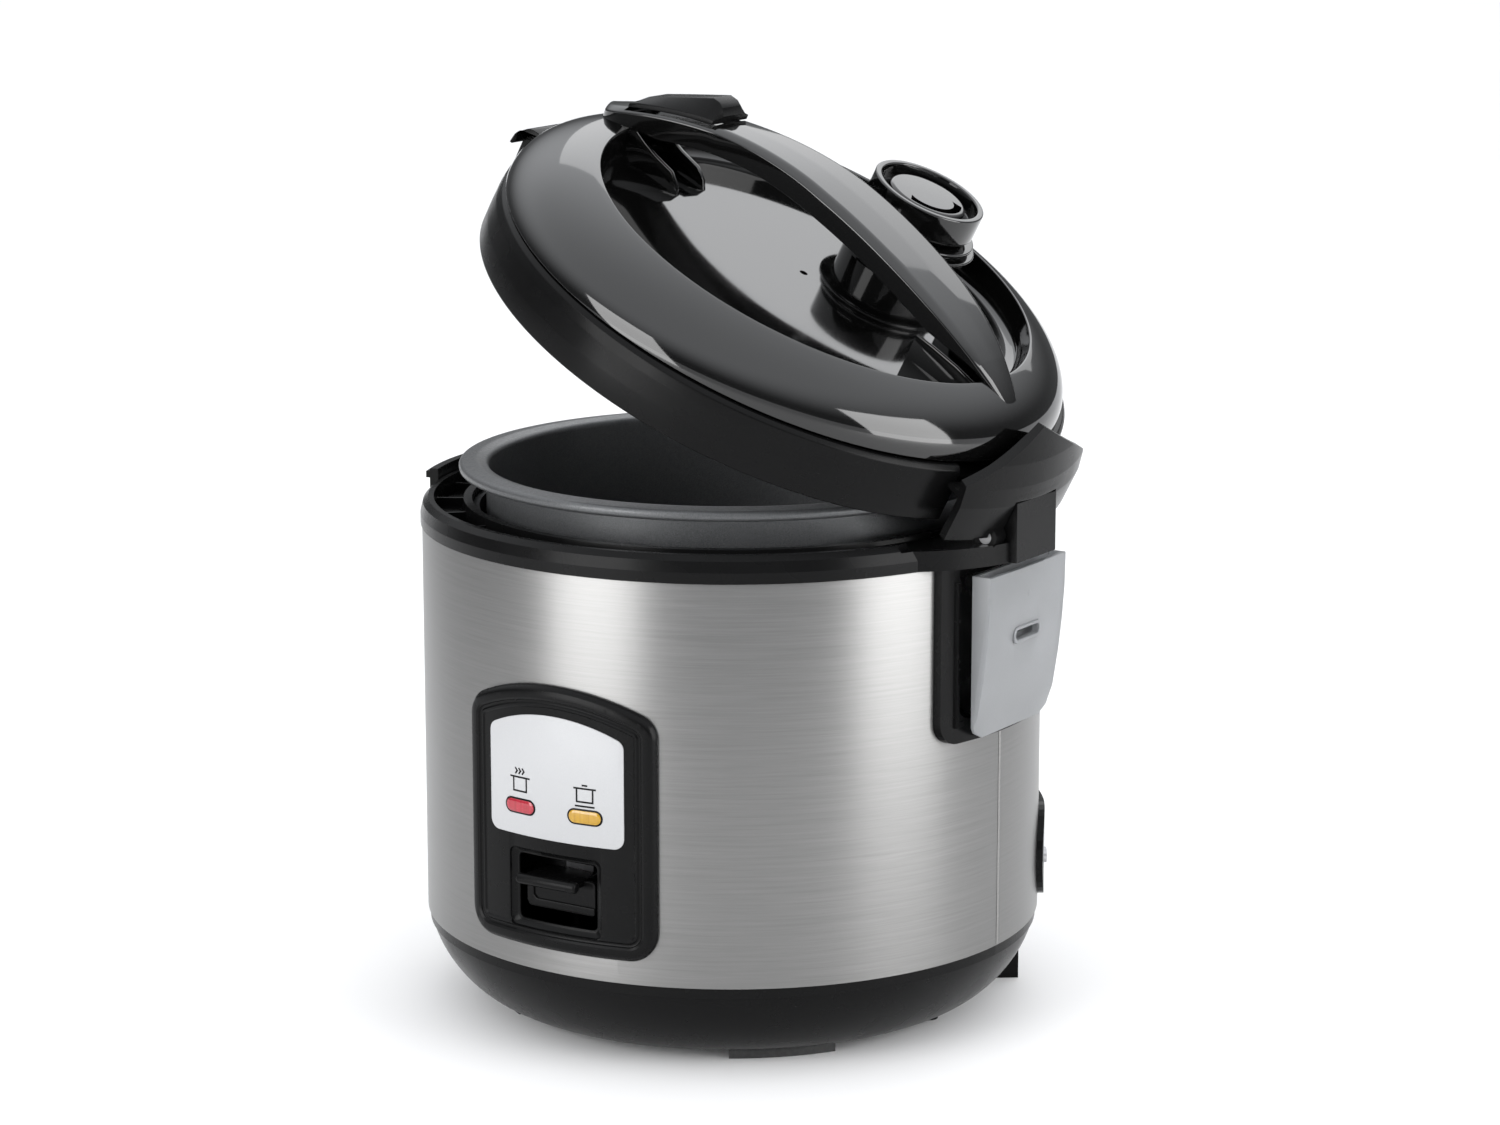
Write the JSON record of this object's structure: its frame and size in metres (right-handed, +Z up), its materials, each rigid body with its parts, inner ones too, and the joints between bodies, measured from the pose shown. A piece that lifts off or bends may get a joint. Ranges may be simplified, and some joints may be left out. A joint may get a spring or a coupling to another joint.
{
  "type": "rice cooker",
  "caption": "Round electric rice cooker: steel shell, lift-out pot, hinged latching lid with bridge handle and steam vent, cook lever and condensate collector.",
  "frame": {"origin": "on the body's vertical axis, in the plane of the feet", "axes": "+Z up, control panel towards -Y, lid hinge and condensate collector towards +X"},
  "size_m": [0.2561, 0.2422, 0.346],
  "materials": {
    "satin_black": "fine moulded satin, slightly warm black",
    "gloss_black": "piano-black high gloss",
    "brushed_steel": "fine brushing running around the body",
    "pot_coating": "dark non-stick coating with fine metallic speckle",
    "cast_aluminium": "machined cast aluminium",
    "sheet_aluminium": "spun sheet aluminium",
    "plain_steel": "zinc-plated sheet steel",
    "bright_steel": "polished steel pin",
    "spring_wire": "drawn spring wire",
    "ferrite": "dull sintered ferrite",
    "mica_band": "mica and foil band",
    "ceramic": "unglazed ceramic",
    "label_silver": "pale silver printed plate, fine metallic grain",
    "lens_red": "clear red lens",
    "lens_amber": "clear amber lens",
    "lamp_glass": "neon lamp glass",
    "white_plastic": "white heat-proof plastic",
    "frosted": "frosted translucent plastic",
    "silicone": "translucent silicone",
    "nickel": "nickel-plated brass",
    "rubber_foot": "matt rubber"
  },
  "bodies": {
    "cooker": {"base_pan": "satin_black", "foot_pads": "rubber_foot", "rear_foot": "satin_black", "outer_shell": "brushed_steel", "top_ring": "satin_black", "hinge_pin": "bright_steel", "hinge_springs": "spring_wire", "inner_chamber": "sheet_aluminium", "keep_warm_band": "mica_band", "heating_plate": "cast_aluminium", "heating_element": "plain_steel", "plate_legs": "plain_steel", "base_screws": "plain_steel", "thermostat_bracket": "plain_steel", "sensor_spring": "spring_wire", "rocker_bracket": "plain_steel", "rocker_pin": "bright_steel", "microswitch": "satin_black", "thermal_fuse": "ceramic", "terminal_block": "ceramic", "panel_frame": "satin_black", "panel_label": "label_silver", "lens_red": "lens_red", "lens_amber": "lens_amber", "indicator_lamps": "lamp_glass", "lamp_holder": "white_plastic", "inlet_socket": "satin_black", "inlet_pins": "nickel", "inlet_screws": "plain_steel", "collector_bracket": "satin_black"},
    "lid": {"lid_skirt": "satin_black", "lid_apron": "satin_black", "lid_dome": "gloss_black", "lid_handle": "gloss_black", "button_spring": "spring_wire", "latch_pin": "bright_steel", "latch_spring": "spring_wire", "inner_lid_frame": "satin_black", "inner_lid_plate": "sheet_aluminium", "lid_seal": "silicone", "vent_seal": "silicone"},
    "release": {"release_button": "satin_black"},
    "latch": {"latch_hook": "satin_black"},
    "cook": {"rocker_arm": "plain_steel", "cook_lever": "satin_black"},
    "rod": {"magnet_rod": "plain_steel", "rod_magnet": "ferrite"},
    "sensor": {"sensor_cup": "cast_aluminium", "ferrite_disc": "ferrite"},
    "pot": {"inner_pot": "pot_coating"},
    "vent": {"vent_cap": "gloss_black"},
    "collector": {"collector_cup": "frosted"}
  },
  "joints": [
    {"name": "lid_hinge", "type": "hinge", "parent": "cooker", "child": "lid", "pos_m": [0.123, 0, 0.196], "axis": [0, 1, 0], "range_deg": [-27.7, 57]},
    {"name": "release_press", "type": "slide", "parent": "lid", "child": "release", "axis": [-0.4648, 0, -0.8854], "range_m": [0, 0.0025], "stiffness_N_per_m": 600, "springref_m": -0.003},
    {"name": "latch_swing", "type": "hinge", "parent": "lid", "child": "latch", "pos_m": [-0.07894, 0, 0.32122], "axis": [0, 1, 0], "range_deg": [0, 5.2]},
    {"name": "cook_press", "type": "hinge", "parent": "cooker", "child": "cook", "pos_m": [0, -0.05, 0.056], "axis": [1, 0, 0], "range_deg": [0, 8.2], "stiffness_Nm_per_rad": 0.4, "springref_deg": -20.05},
    {"name": "rod_lift", "type": "slide", "parent": "cooker", "child": "rod", "axis": [0, 0, 1], "range_m": [0, 0.0075]},
    {"name": "sensor_travel", "type": "slide", "parent": "cooker", "child": "sensor", "axis": [0, 0, 1], "range_m": [-0.003, 0], "stiffness_N_per_m": 400, "springref_m": 0.003, "deforming": ["sensor_spring"]},
    {"name": "pot_turn", "type": "hinge", "parent": "cooker", "child": "pot", "pos_m": [0, 0, 0.15], "axis": [0, 0, 1], "continuous": true},
    {"name": "vent_pull", "type": "slide", "parent": "lid", "child": "vent", "axis": [0.4648, 0, 0.8854], "range_m": [0, 0.03]},
    {"name": "collector_pull", "type": "slide", "parent": "cooker", "child": "collector", "axis": [1, 0, 0], "range_m": [0, 0.04]}
  ],
  "couplings": [
    {"joint": "latch_swing", "follows": "release_press", "rad_per_m": 34.483},
    {"joint": "rod_lift", "follows": "cook_press", "m_per_rad": 0.052}
  ]
}
